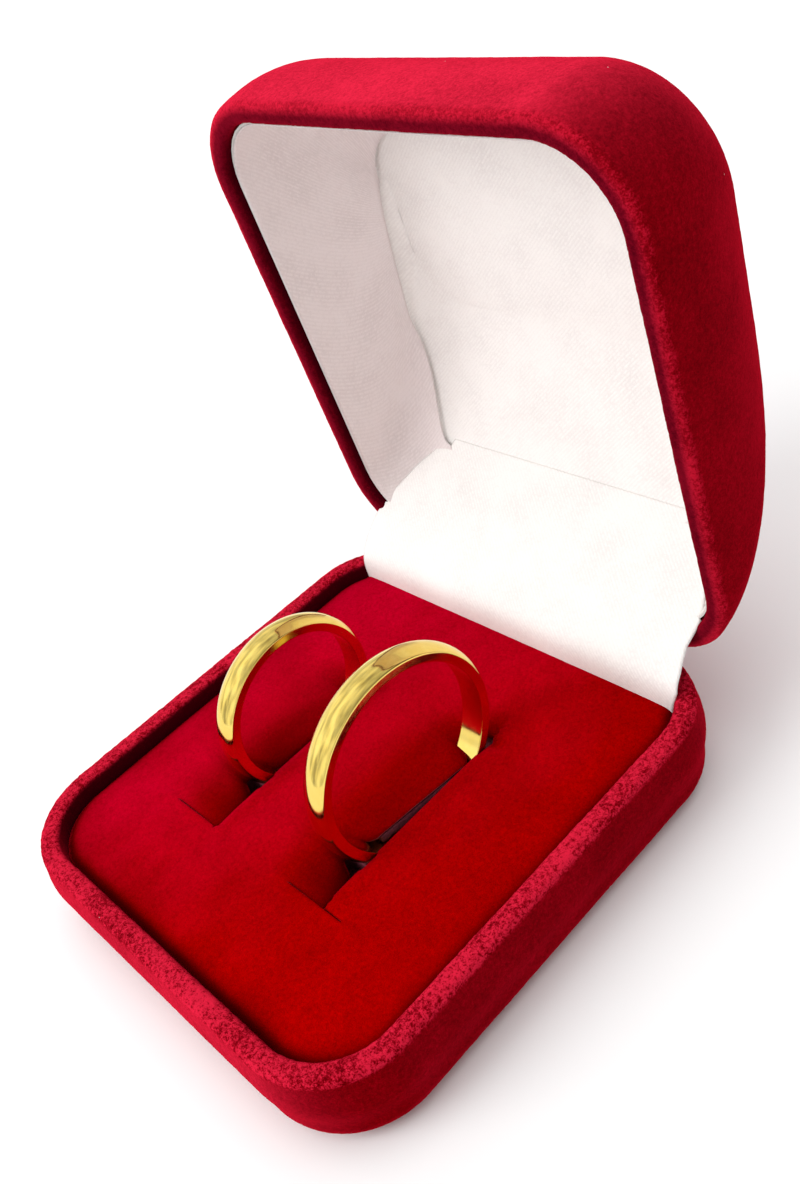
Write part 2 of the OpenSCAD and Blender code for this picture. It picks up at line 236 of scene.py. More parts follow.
def make(name, points, faces, material, uv=None, values=None, closed=True):
    """A mesh object from points in millimetres, shaded smooth; a closed one gets its normals outwards."""
    mesh = bpy.data.meshes.new(name)
    faces = [list(map(int, f)) for f in faces]
    mesh.from_pydata((np.asarray(points) * MM).tolist(), [], faces)
    for key, numbers in (values or {}).items():
        mesh.attributes.new(key, "FLOAT", "POINT").data.foreach_set("value", np.asarray(numbers, np.float32))
    if uv is not None:
        layer = mesh.uv_layers.new(name="cloth")
        corner = np.zeros(len(mesh.loops), int)
        mesh.loops.foreach_get("vertex_index", corner)
        layer.data.foreach_set("uv", (np.asarray(uv)[corner] * MM).astype(np.float32).ravel())
    obj = bpy.data.objects.new(name, mesh)
    bpy.context.scene.collection.objects.link(obj)
    shape = bmesh.new()
    shape.from_mesh(mesh)
    if closed:
        bmesh.ops.recalc_face_normals(shape, faces=shape.faces)
    for face in shape.faces:
        face.smooth = True
    shape.to_mesh(mesh)
    shape.free()
    for m in material if isinstance(material, (list, tuple)) else [material]:
        mesh.materials.append(m)
    return obj


def place(obj, body, slot, *nodes):
    """obj rides on a body and stands for these CAD nodes, which it hides; slot is not used."""
    if body:
        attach(obj, body)
    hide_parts(*nodes)
    return obj


def modifier(obj, kind, **settings):
    m = obj.modifiers.new(kind.lower(), kind)
    for key, value in settings.items():
        setattr(m, key, value)
    return m


def normals_of(rows):
    """Normals of rings of points, shape (rings, points, 3)."""
    around = np.roll(rows, -1, 1) - np.roll(rows, 1, 1)
    along = np.gradient(rows, axis=0)
    n = np.cross(around, along)
    return n / np.maximum(np.linalg.norm(n, axis=-1, keepdims=True), 1e-9)


def lumps(points, size, seed=0.0):
    """Smooth noise from about -1 to 1 at each point, its lumps about size across."""
    flat = np.asarray(points).reshape(-1, 3) / size + seed
    found = np.array([noise.noise(p) for p in flat.tolist()])
    return found.reshape(np.asarray(points).shape[:-1])


def billow(low, high, held, highest):
    """Heights of a loose sheet of cloth over the rectangle from low to high, pinned wherever held
    says and pushed up from below, as a function of (x, y). It is simulated twenty times larger than
    life, and scaled so that its highest point is highest."""
    step, size, frames = 1.3, 20 * MM, 14
    xs, ys = (np.arange(a, b + step, step) for a, b in zip(low, high))
    flat = np.stack(np.meshgrid(xs, ys), -1).reshape(-1, 2)
    rise = np.zeros(len(flat))
    i = np.arange(len(flat)).reshape(len(ys), len(xs))[:-1, :-1].ravel()
    faces = np.stack([i, i + 1, i + len(xs) + 1, i + len(xs)], -1)
    mesh = bpy.data.meshes.new("loose")
    mesh.from_pydata([(x, y, 0) for x, y in (flat * size).tolist()], [], faces.tolist())
    obj = bpy.data.objects.new("loose", mesh)
    bpy.context.scene.collection.objects.link(obj)
    pins = held(flat)
    obj.vertex_groups.new(name="pins").add(np.flatnonzero(pins).tolist(), 1, "REPLACE")
    cloth = obj.modifiers.new("cloth", "CLOTH")
    cloth.point_cache.frame_end = frames
    stiffness = {"tension_stiffness": 12, "compression_stiffness": 12, "shear_stiffness": 6}
    push = {"use_pressure": True, "uniform_pressure_force": 3, "shrink_min": -0.02}
    for key, value in {"quality": 6, "mass": 0.2, "bending_stiffness": 0.3, **stiffness, **push}.items():
        setattr(cloth.settings, key, value)
    cloth.settings.vertex_group_mass = "pins"
    cloth.settings.effector_weights.gravity = 0
    for f in range(1, frames + 1):
        bpy.context.scene.frame_set(f)
    settled = obj.evaluated_get(bpy.context.evaluated_depsgraph_get()).data
    rise = np.array([v.co.z for v in settled.vertices]) / size
    rise = np.where(pins, 0, rise * highest / max(np.abs(rise).max(), 1e-6))
    bpy.context.scene.frame_set(1)
    bpy.data.objects.remove(obj)
    rise = rise.reshape(len(ys), len(xs))

    def at(x, y):
        column = np.clip((x - xs[0]) / step, 0, len(xs) - 1.001)
        row = np.clip((y - ys[0]) / step, 0, len(ys) - 1.001)
        i, j = column.astype(int), row.astype(int)
        u, v = column - i, row - j
        near = rise[j, i] * (1 - u) + rise[j, i + 1] * u
        far = rise[j + 1, i] * (1 - u) + rise[j + 1, i + 1] * u
        return near * (1 - v) + far * v

    return at


def pile(points, rim):
    """How far velvet stands proud at each point: a fine pile, pressed into coarser tufts on a rim."""
    nap_and_sheen = 0.022 * lumps(points, 0.45) + 0.02 * lumps(points, 1.3, 7) + 0.03 * lumps(points, 7, 3)
    crush_and_painted_shade = 0.05 * lumps(points, 0.5, 11) + 0.05 * lumps(points, 0.28, 5)
    return nap_and_sheen + rim * crush_and_painted_shade


# ---- materials ----------------------------------------------------------------


class Shader:
    """A material under construction, with short calls for the nodes used here."""

    def __init__(self, name):
        self.material = bpy.data.materials.new(name)
        self.material.use_nodes = True
        self.tree = self.material.node_tree
        self.bsdf = self.tree.nodes["Principled BSDF"]
        self.coords = None

    def node(self, kind, **settings):
        n = self.tree.nodes.new("ShaderNode" + kind)
        for key, value in settings.items():
            setattr(n, key, value)
        return n

    def link(self, a, b):
        self.tree.links.new(a, b)

    def where(self, output="Object"):
        self.coords = self.coords or self.node("TexCoord")
        return self.coords.outputs[output]

    def noise(self, size, detail=2.0, rough=0.5, vector=None, seed=0.0):
        """Noise whose lumps are about size millimetres across."""
        n = self.node("TexNoise", noise_dimensions="4D")
        n.inputs["Scale"].default_value = 1 / (size * MM)
        n.inputs["Detail"].default_value = detail
        n.inputs["Roughness"].default_value = rough
        n.inputs["W"].default_value = seed
        self.link(vector or self.where(), n.inputs["Vector"])
        return n.outputs["Fac"]

    def ramp(self, value, *stops):
        n = self.node("ValToRGB")
        while len(n.color_ramp.elements) < len(stops):
            n.color_ramp.elements.new(0.5)
        for e, (at, colour) in zip(n.color_ramp.elements, stops):
            e.position = at
            e.color = (*colour, 1) if hasattr(colour, "__len__") else (colour, colour, colour, 1)
        self.link(value, n.inputs["Fac"])
        return n.outputs["Color"]

    def math(self, operation, a, b=0.5, clamp=False):
        n = self.node("Math", operation=operation, use_clamp=clamp)
        for value, socket in zip((a, b), n.inputs):
            if hasattr(value, "links"):
                self.link(value, socket)
            else:
                socket.default_value = value
        return n.outputs[0]

    def mix(self, share, a, b, blend="MIX"):
        n = self.node("Mix", data_type="RGBA", blend_type=blend)
        for value, socket in ((share, n.inputs["Factor"]), (a, n.inputs["A"]), (b, n.inputs["B"])):
            if hasattr(value, "links"):
                self.link(value, socket)
            else:
                socket.default_value = value if isinstance(value, float) else (*value, 1)
        return n.outputs["Result"]

    def bump(self, height, distance, strength=1.0):
        n = self.node("Bump")
        n.inputs["Strength"].default_value = strength
        n.inputs["Distance"].default_value = distance * MM
        self.link(height, n.inputs["Height"])
        self.link(n.outputs["Normal"], self.bsdf.inputs["Normal"])
        return n

    def attribute(self, name):
        n = self.node("Attribute", attribute_name=name)
        return n.outputs["Fac"]

    def set(self, **values):
        """Sets or links the shader's own sockets, with _ for a space in their names."""
        for key, value in values.items():
            socket = self.bsdf.inputs[key.replace("_", " ")]
            if hasattr(value, "links"):
                self.link(value, socket)
            else:
                socket.default_value = (*value, 1) if hasattr(value, "__len__") else value


def velvet(name, deep, mid, bright, painted_sheen, crush_and_painted_shade, sheen, sheen_weight):
    """Cut pile: deep where the tufts stand apart, bright at their tops, with a painted sheen where it is
    seen edge-on, and a few specks of lint.
    The attribute "rim" marks the rim, where the pile lies pressed into crinkles with a painted highlight; a second
    attribute darkens the colour, for pile pressed flat and as painted shade in recesses; a third says how much painted
    sheen each place gets."""
    s = Shader(name)
    rim = s.attribute("rim")
    fine = s.noise(0.16, detail=3, rough=0.65)
    tufts = s.noise(0.42, detail=2, rough=0.6, seed=2)
    # Broad random tone of the pile, about six millimetres across.
    broad_tone_and_painted_sheen = s.noise(6, detail=3, rough=0.55, seed=4)
    grain = s.math("ADD", s.math("MULTIPLY", fine, 0.42), s.math("MULTIPLY", tufts, 0.33))
    grain = s.math("ADD", grain, s.math("MULTIPLY", broad_tone_and_painted_sheen, 0.25))
    contrast = s.math("ADD", s.math("MULTIPLY", rim, 0.8), 1.0)
    level = s.math("ADD", s.math("MULTIPLY", s.math("SUBTRACT", grain, 0.5), contrast), 0.5)
    level = s.math("ADD", level, s.math("MULTIPLY", rim, 0.09))
    colour = s.ramp(level, (0.3, deep), (0.52, mid), (0.72, bright))
    # Painted sheen: where the velvet is seen edge-on, its brighter grains turn towards the sheen colour, as far as the
    # painted sheen share of the place allows.
    edge_on = s.node("LayerWeight")
    edge_on.inputs["Blend"].default_value = 0.35
    turned = s.ramp(edge_on.outputs["Facing"], (0.05, 0.25), (0.6, 1.0))
    lit = s.math("MULTIPLY", s.ramp(level, (0.36, 0.4), (0.58, 1.0)), s.attribute("nap_and_sheen"))
    colour = s.mix(s.math("MULTIPLY", turned, lit), colour, painted_sheen)
    # Painted highlight: the rim's pressed, brighter tufts turn towards the sheen colour.
    tip_highlight = s.math("MULTIPLY", s.ramp(level, (0.5, 0.0), (0.66, 1.0)), rim)
    colour = s.mix(s.math("MULTIPLY", tip_highlight, 0.6), colour, painted_sheen)
    # Painted shade, partly pressed pile: the dark colour is mixed in where the attribute says, for pile pressed flat
    # and for shade in recesses and hollows.
    colour = s.mix(s.math("MULTIPLY", s.attribute("crush_and_painted_shade"), 0.9), colour, crush_and_painted_shade)
    cells = s.node("TexVoronoi", feature="F1")
    cells.inputs["Scale"].default_value = 1 / (2.6 * MM)
    cells.inputs["Randomness"].default_value = 1
    s.link(s.where(), cells.inputs["Vector"])
    split = s.node("SeparateColor")
    s.link(cells.outputs["Color"], split.inputs["Color"])
    chosen = s.math("GREATER_THAN", split.outputs["Red"], 0.78)
    speck = s.math("LESS_THAN", cells.outputs["Distance"], 0.028)
    lint = s.math("MULTIPLY", s.math("MULTIPLY", chosen, speck), 0.75)
    colour = s.mix(lint, colour, (0.85, 0.62, 0.6))
    s.set(Base_Color=colour, Roughness=0.9, Sheen_Weight=sheen_weight, Sheen_Roughness=0.35, Sheen_Tint=sheen)
    s.set(Specular_IOR_Level=0.0)
    s.bump(grain, 0.12, 0.8)
    return s.material


def satin(name, colour, shade, roughness=0.42):
    """Fine twill: short diagonal floats a third of a millimetre apart, that catch the light singly."""
    s = Shader(name)
    waves = s.node("TexWave", wave_type="BANDS", bands_direction="DIAGONAL", wave_profile="SIN")
    waves.inputs["Scale"].default_value = 0.314 / (0.26 * MM)
    waves.inputs["Distortion"].default_value = 1.6
    waves.inputs["Detail"].default_value = 3
    waves.inputs["Detail Scale"].default_value = 7
    s.link(s.where("UV"), waves.inputs["Vector"])
    floats = s.ramp(s.noise(0.5, detail=2, rough=0.6, vector=s.where("UV"), seed=2), (0.38, 0.0), (0.62, 1.0))
    threads = s.noise(0.22, detail=3, rough=0.7, vector=s.where("UV"))
    soft = s.noise(5, detail=2, seed=3)
    twill = s.math("MULTIPLY", waves.outputs["Fac"], floats)
    height = s.math("ADD", s.math("MULTIPLY", twill, 0.4), s.math("MULTIPLY", threads, 0.6))
    tone = s.math("ADD", s.math("MULTIPLY", height, 0.6), s.math("MULTIPLY", soft, 0.4))
    s.set(Base_Color=s.ramp(tone, (0.22, shade), (0.5, colour)))
    s.set(Roughness=roughness, Sheen_Weight=0.25, Sheen_Roughness=0.4, Specular_IOR_Level=0.5)
    s.bump(height, 0.06, 0.9)
    return s.material


def gold():
    """Polished yellow gold with the hairlines of wear along the band."""
    s = Shader("polished_gold")
    rub = s.noise(1.1, detail=4, rough=0.6)
    s.set(Base_Color=s.ramp(rub, (0.3, (0.86, 0.62, 0.14)), (0.7, (0.90, 0.69, 0.19))))
    s.set(Metallic=1.0, Roughness=s.ramp(rub, (0.3, 0.07), (0.75, 0.14)))
    s.bump(s.noise(2.4, detail=3, rough=0.5, seed=6), 0.012, 0.4)
    return s.material


def steel():
    """Rolled nickel-plated steel: fine lines along the barrel and duller smudges."""
    s = Shader("nickel_steel")
    stretch = s.node("Mapping")
    stretch.inputs["Scale"].default_value = (0.08, 1, 1)
    s.link(s.where(), stretch.inputs["Vector"])
    lines = s.noise(0.12, detail=2, vector=stretch.outputs["Vector"])
    smudge = s.noise(3, detail=3, seed=5)
    s.set(Base_Color=s.ramp(smudge, (0.3, (0.50, 0.48, 0.46)), (0.7, (0.68, 0.67, 0.66))))
    s.set(Metallic=1.0, Roughness=s.ramp(lines, (0.3, 0.22), (0.7, 0.42)))
    s.bump(lines, 0.01, 0.5)
    return s.material


def grainy(name, deep, light, size, depth, roughness=0.9):
    """A matt material with grain of one size: board, paper, foam or wadding."""
    s = Shader(name)
    grain = s.noise(size, detail=4, rough=0.65)
    patches = s.noise(size * 12, detail=2, seed=2)
    tone = s.math("ADD", s.math("MULTIPLY", grain, 0.7), s.math("MULTIPLY", patches, 0.3))
    s.set(Base_Color=s.ramp(tone, (0.35, deep), (0.65, light)))
    s.set(Roughness=roughness, Specular_IOR_Level=0.05)
    s.bump(grain, depth, 0.8)
    return s.material


# Each velvet: deep, mid and bright pile colours, the painted sheen colour, the dark colour of pressed pile and painted
# shade, then the sheen tint and weight.
CASE_VELVET = velvet(
    "case_velvet", (0.06, 0.0, 0.001), (0.19, 0.0, 0.002), (0.36, 0.0, 0.008), (0.78, 0.02, 0.06),
    (0.035, 0.0, 0.004), (1.0, 0.01, 0.035), 0.4)
PAD_VELVET = velvet(
    "pad_velvet", (0.18, 0.0, 0.0), (0.36, 0.0, 0.0), (0.54, 0.0, 0.0), (0.62, 0.0, 0.04),
    (0.05, 0.0, 0.0), (1.0, 0.0, 0.02), 0.45)
WHITE_SATIN = satin("white_satin", (0.93, 0.91, 0.88), (0.80, 0.77, 0.75))
# A darker, pinker copy of the white satin for the side lining: painted shade, with painted red bounce light from the
# velvet.
SHADED_SIDE_SATIN = satin("side_satin", (0.83, 0.75, 0.74), (0.70, 0.62, 0.61))
GOLD = gold()
STEEL = steel()
FOAM = grainy("foam", (0.12, 0.02, 0.035), (0.26, 0.06, 0.08), 0.25, 0.12)
RAW_EDGE = grainy("raw_edge", (0.12, 0.01, 0.015), (0.30, 0.05, 0.07), 0.12, 0.05)
CARD = grainy("card", (0.76, 0.73, 0.70), (0.88, 0.86, 0.83), 0.3, 0.03)
WADDING = grainy("wadding", (0.70, 0.70, 0.70), (0.88, 0.88, 0.88), 0.4, 0.2)
SHELL = grainy("shell_board", (0.10, 0.01, 0.015), (0.20, 0.02, 0.03), 0.35, 0.03, 0.6)
PAPER = grainy("underside_paper", (0.012, 0.012, 0.013), (0.035, 0.035, 0.038), 0.5, 0.05, 0.7)

# ---- velvet covers ------------------------------------------------------------


def rim_arc(width, height, steps=7):
    """Offsets (in from the face, down from the top) over a rounded rim of that width, outer edge first."""
    a = np.radians(np.linspace(0, 90, steps))
    rise = [(height * (1 - math.cos(x)) * 1.2, height * (1 - math.sin(x))) for x in a]
    crown = np.linspace(rise[-1][0], width - rise[-1][0], 8)[1:-1]
    return rise + [(x, 0.0) for x in crown] + [(width - i, d) for i, d in reversed(rise)]


def sink_notch(points, side):
    """Presses a rim down where the hinge barrel lies; points are about the hinge line."""
    p = points.copy()
    across = np.abs(p[:, 0]) < NOTCH_L / 2
    near = across & (p[:, 1] > -RIM_W - 0.5)
    limit = side * NOTCH_DEPTH
    low = near & (p[:, 2] * side < limit * side)
    p[low, 2] = limit
    r = np.hypot(p[:, 1], p[:, 2])
    inside = across & (r < NOTCH_R)
    p[inside, 1:] *= (NOTCH_R / np.maximum(r[inside], 1e-6))[:, None]
    return p


def broad_tone_and_painted_sheen(rows, front, rim):
    """How much painted sheen the velvet gets at each point: less on the walls that face the right, so that
    they stay darker as painted shade, on the front by the share given, and on the rim."""
    normals = normals_of(rows)
    level = 1 - 0.93 * np.clip(normals[..., 0], 0, 1) - (1 - front) * np.clip(-normals[..., 1], 0, 1)
    return np.clip(level * (1 - 0.75 * rim), 0, 1)


def base_cover():
    """Velvet from under the base, up its wall, over the rim and down inside it."""
    foot = [(FOOT_R * math.sin(a) - FOOT_R, SHEET_T + FOOT_R - FOOT_R * math.cos(a))
            for a in np.radians(np.linspace(0, 90, 13))]
    round_h = 0.62
    wall = [(swell(z), z) for z in np.linspace(SHEET_T + FOOT_R, RIM_Z - round_h, 26)[1:]]
    rim = [(-i, RIM_Z - d) for i, d in rim_arc(RIM_W, round_h)][1:]
    inside = [(-RIM_W, z) for z in np.linspace(RIM_Z - round_h, RIM_Z - TUCK_DEPTH, 12)[1:]]
    under = [(-FOOT_R - TURN_IN + 0.3 * i, SHEET_T) for i in range(int(TURN_IN / 0.3))]
    outer = under + foot + wall + rim + inside
    back = [
        (VELVET_T - RIM_W, RIM_Z - TUCK_DEPTH), (VELVET_T - RIM_W, RIM_Z - VELVET_T),
        (-VELVET_T, RIM_Z - VELVET_T), (swell(6) - VELVET_T, 6), (-VELVET_T, SHEET_T + FOOT_R),
        (-FOOT_R + 0.29 * (FOOT_R - VELVET_T), SHEET_T + VELVET_T + 0.3),
        (-FOOT_R, SHEET_T + VELVET_T), (-FOOT_R - TURN_IN, SHEET_T + VELVET_T),
    ]
    rows = np.stack([case_loop(o, z) for o, z in outer])
    heights = np.array([z for _, z in outer])
    rim_share = np.clip((heights - (RIM_Z - 1.0)) / 0.5, 0, 1)[:, None] * np.ones(rows.shape[:2])
    under_share = np.clip((heights - SHEET_T) / 0.6, 0, 1)[:, None]
    # Painted sheen share: walls facing the right are left darker, as painted shade.
    nap_and_sheen = broad_tone_and_painted_sheen(rows, 0.6, rim_share)
    rows = rows + normals_of(rows) * (pile(rows, rim_share) * under_share)[..., None]
    inner = np.stack([case_loop(o, z) for o, z in back])
    points = np.concatenate([rows, inner]).reshape(-1, 3)
    hinge = np.array([0, HINGE_Y, HINGE_Z])
    points = sink_notch(points - hinge, -1) + hinge
    # Painted shade: the velvet down the inside of the rim is darkened, in the same attribute that marks pile pressed
    # flat.
    inward = np.array([o for o, _ in outer])
    flat = np.clip((-inward - RIM_W + 0.35) / 0.35, 0, 1) * np.clip((RIM_Z - heights) / 0.5, 0, 1)
    flat = flat[:, None] * np.ones(rows.shape[:2])
    behind = np.zeros(inner.shape[0] * inner.shape[1])
    shades = {"rim": rim_share, "crush_and_painted_shade": flat, "nap_and_sheen": nap_and_sheen}
    values = {key: np.concatenate([share.ravel(), behind]) for key, share in shades.items()}
    faces = tube_faces(len(outer) + len(back), rows.shape[1], close=True)
    return make("base_velvet", points, faces, CASE_VELVET, values=values)


def lid_cover():
    """Velvet over the whole dome, round the rim and down inside it."""
    round_h = 0.62
    climb = np.linspace(0, 1, 72) ** 1.0
    heights = LID_RIM + round_h + (LID_H - LID_RIM - round_h) * np.sin(np.radians(90 * climb))
    inside = [(RIM_W, w) for w in np.linspace(TUCK_DEPTH, LID_RIM + round_h, 12)]
    rim = [(i, LID_RIM + d) for i, d in reversed(rim_arc(RIM_W, round_h))]
    outer = inside[:-1] + rim + [(0, w) for w in heights[1:]]
    rows = np.stack([dome_at(t, w) for t, w in outer])
    depth = np.array([w for _, w in outer])
    rim_share = 0.45 * np.clip((LID_RIM + 1.0 - depth) / 0.5, 0, 1)[:, None] * np.ones(rows.shape[:2])
    # Painted shade: the rim darkens from near its outer edge inwards, and the velvet down inside it is darkened fully,
    # in the same attribute that marks pile pressed flat.
    inward = np.array([t for t, _ in outer])
    flat = np.maximum(np.clip((inward - 0.3) / 0.8, 0, 1) * 0.85, np.clip((inward - RIM_W + 0.35) / 0.35, 0, 1))
    flat = flat[:, None] * np.ones(rows.shape[:2])
    # Painted sheen share: walls facing the right are left darker, as painted shade.
    nap_and_sheen = broad_tone_and_painted_sheen(rows, 1, rim_share)
    rows = rows + normals_of(rows) * pile(rows, rim_share)[..., None]
    n = rows.shape[1]
    cap, cap_faces = patch(rows[-1], (len(rows) - 1) * n, rows.shape[0] * n)
    cap[:, 2] += pile(cap, np.zeros(len(cap)))
    under_w = [LID_H - VELVET_T, 16, 12, 8, 4, LID_RIM + VELVET_T]
    under = np.stack([dome_at(VELVET_T, w) for w in under_w]
                     + [dome_at(RIM_W - VELVET_T, LID_RIM + VELVET_T), dome_at(RIM_W - VELVET_T, TUCK_DEPTH)])
    start = rows.shape[0] * n + len(cap)
    inner_cap, inner_faces = patch(under[0], start, start + under.shape[0] * n)
    inner_cap_faces = inner_faces[:, ::-1]
    faces = [tube_faces(len(rows), n), cap_faces, tube_faces(len(under), n) + start, inner_cap_faces]
    i = np.arange(n)
    j = (i + 1) % n
    last = start + (len(under) - 1) * n
    faces.append(np.stack([last + i, last + j, j, i], -1))
    points = np.concatenate([rows.reshape(-1, 3), cap, under.reshape(-1, 3), inner_cap])
    rest = np.zeros(len(points) - rim_share.size)
    shades = {"rim": rim_share, "crush_and_painted_shade": flat, "nap_and_sheen": nap_and_sheen}
    values = {key: np.concatenate([share.ravel(), rest + (key == "nap_and_sheen")]) for key, share in shades.items()}
    points = opened(sink_notch(points, 1))
    return make("lid_velvet", points, np.concatenate(faces), CASE_VELVET, values=values)


def covers():
    base = place(base_cover(), "base", "velvet", "base_velvet_cover")
    lid = place(lid_cover(), "lid", "velvet", "lid_velvet_cover")


covers()

# ---- bands --------------------------------------------------------------------

BAND_DOME = 0.6
BAND_EDGE_R = 0.14


def band(node):
    """D-section band, domed outside and flat inside, its edges eased."""
    low, high = box_mm(node)
    centre, half_w, r_out = (low + high) / 2, (high[0] - low[0]) / 2, (high[2] - low[2]) / 2
    around = vertices_mm(node) - centre
    r_in = np.hypot(around[:, 1], around[:, 2]).min()
    crown_r = (half_w ** 2 + BAND_DOME ** 2) / (2 * BAND_DOME)
    x = half_w * np.sin(np.radians(np.linspace(-90, 90, 41)))
    dome = [(r_out - crown_r + math.sqrt(crown_r ** 2 - a * a), a) for a in x]
    side = [(r, half_w) for r in np.linspace(dome[-1][0], r_in, 8)[1:-1]]
    flat = [(r_in, a) for a in half_w * np.sin(np.radians(np.linspace(90, -90, 25)))]
    profile = dome + side + flat + [(r, -half_w) for r, _ in reversed(side)]
    profile = eased(np.array(profile), BAND_EDGE_R)
    turn = np.radians(np.arange(0, 360, 1))
    rows = np.stack([
        np.stack([np.full(len(profile), 0) + profile[:, 1], profile[:, 0] * math.cos(a), profile[:, 0] * math.sin(a)], -1)
        for a in turn
    ]) + centre
    faces = tube_faces(len(turn), len(profile), close=True)
    return make(node + "_gold", rows.reshape(-1, 3), faces, GOLD)


def eased(profile, r):
    """A closed outline with its corners softened over about r, by averaging along its length."""
    closed = np.vstack([profile, profile[:1]])
    step = np.linalg.norm(np.diff(closed, axis=0), axis=1)
    at = np.concatenate([[0], np.cumsum(step)])
    count = int(at[-1] / 0.06)
    even = np.linspace(0, at[-1], count, endpoint=False)
    fine = np.stack([np.interp(even, at, closed[:, k]) for k in (0, 1)], -1)
    reach = max(int(r / 0.06), 1)
    kernel = np.hanning(2 * reach + 3)[1:-1]
    kernel /= kernel.sum()
    wrapped = np.vstack([fine[-reach:], fine, fine[:reach]])
    return np.stack([np.convolve(wrapped[:, k], kernel, "valid") for k in (0, 1)], -1)


for node in ("band_large", "band_small"):
    place(band(node), node, "gold", node)

# ---- ring pad -----------------------------------------------------------------

PAD_LOW, PAD_HIGH = box_mm("ring_pad_velvet")
PAD_TOP, PAD_BACK = PAD_HIGH[2], PAD_HIGH[1]
PAD_INSET = CASE_W / 2 - PAD_HIGH[0]
PAD_STEP = 0.42
SKIN_T = 0.3
LIP_BOTTOM = 7.6
EDGE_ASIDE = 1.35
LEG_ASIDE = 1.56
CROSS_Y = -14.4
CUT = 0.14


class Slot:
    """A cut in the pad for one band: its two sides, and how far the pad is pressed down beside them.
    The right side is straight. The left side gives way: gaps and dips are (y, millimetres)."""

    def __init__(self, node, cross, between, dips):
        low, high = box_mm(node)
        self.x = (low[0] + high[0]) / 2
        self.cross = cross
        y, z, r_out = (low[1] + high[1]) / 2, (low[2] + high[2]) / 2, (high[2] - low[2]) / 2
        r_in = np.hypot(*(vertices_mm(node) - (self.x, y, z)).T[1:]).min()
        outer = math.sqrt(r_out ** 2 - (PAD_TOP - z) ** 2)
        inner = math.sqrt(r_in ** 2 - (PAD_TOP - z) ** 2)
        self.legs = [(y - outer - 0.08, y - inner + 0.1), (y + inner - 0.1, y + outer + 0.08)]
        self.reach = y - math.sqrt(r_in ** 2 - (LIP_BOTTOM - z) ** 2), y + math.sqrt(r_in ** 2 - (LIP_BOTTOM - z) ** 2)
        wide = 2 * LEG_ASIDE
        (a, b), (c, d) = self.legs
        self.end = d + 0.7
        knots = np.array([
            (CROSS_Y, CUT), (a - 3.0, 0.25), (a - 1.6, 0.7), (a - 0.7, 1.5), (a - 0.1, wide), (b + 0.1, wide),
            (b + 0.7, between[0] + 0.6), (b + 1.4, between[0]), (y, between[1]), (c - 1.6, between[2]),
            (c - 0.7, 1.2), (c - 0.1, wide), (d + 0.05, wide), (d + 0.3, 0.9), (self.end, 0.02),
        ])
        at = np.arange(CROSS_Y, self.end, 0.1)
        even = np.interp(at, *knots.T)
        soft = np.convolve(np.pad(even, 3, mode="edge"), np.hanning(9)[1:-1] / np.hanning(9).sum(), "valid")
        leg = ((at > a - 0.1) & (at < b + 0.1)) | ((at > c - 0.1) & (at < d + 0.05))
        self.gaps = np.column_stack([at, np.where(leg, wide, soft)])
        self.dips = np.array(dips)

    def right(self, y):
        leg = sum(np.clip(np.minimum(y - a + 0.3, b + 0.3 - y) / 0.3, 0, 1) for a, b in self.legs)
        return self.x + EDGE_ASIDE + (LEG_ASIDE - EDGE_ASIDE) * np.clip(leg, 0, 1)

    def left(self, y):
        return self.x + LEG_ASIDE - np.maximum(np.interp(y, *self.gaps.T), CUT)

    def outline(self):
        y = np.arange(CROSS_Y, self.end, 0.2)
        y[0] = CROSS_Y + CUT
        up = np.stack([self.right(y), y], -1)
        down = np.stack([np.minimum(self.left(y), self.right(y) - 0.06), y], -1)[::-1]
        near = np.arange(self.x + self.cross[0], self.x + self.cross[1] + 0.01, 0.35)
        front = np.stack([near, np.full(len(near), CROSS_Y)], -1)
        behind = near[::-1][1:-1]
        back_right = behind[behind > up[0, 0] + 0.2]
        back_left = behind[behind < down[-1, 0] - 0.2]
        rows = [front, *[np.stack([x, np.full(len(x), CROSS_Y + CUT)], -1) for x in (back_right, back_left)]]
        return np.concatenate([rows[0], rows[1], up, down, rows[2]])

    def pressed(self, x, y):
        """How far the pad is pressed down at points beside this slot; less than 0 where it stands proud."""
        on_left = x < (self.left(y) + self.right(y)) / 2
        behind = y > CROSS_Y + CUT / 2
        dip = np.interp(y, *self.dips.T, left=self.dips[0, 1], right=0) * behind
        d = np.maximum(self.left(y) - x, 0)
        left = dip * (0.45 * np.exp(-d / 0.8) + 0.55 * np.exp(-(d / 3.4) ** 1.5))
        d = np.maximum(x - self.right(y), 0)
        fade = np.clip((self.end + 0.8 - y) / 1.5, 0, 1) * np.clip((y - CROSS_Y) / 0.5, 0, 1)
        right = fade * (0.35 * np.exp(-(d / 0.35) ** 2) - 0.2 * np.exp(-((d - 1.1) / 0.9) ** 2))
        corner = 0.3 * np.exp(-np.maximum(y - CROSS_Y, 0) / 1.6) * np.exp(-d / 1.4) * behind
        beside_leg = 0.5 * np.exp(-((x - self.x - 2.4) / 1.1) ** 2 - ((y - self.legs[1][1] + 0.2) / 0.9) ** 2)
        lit_edge = -0.15 * np.exp(-np.maximum(CROSS_Y - y, 0) / 0.5) * ~behind
        lit_edge *= np.clip(2.5 - np.abs(x - self.x - sum(self.cross) / 2) + np.ptp(self.cross) / 2, 0, 1)
        return np.where(on_left, left, right + corner + beside_leg) + lit_edge


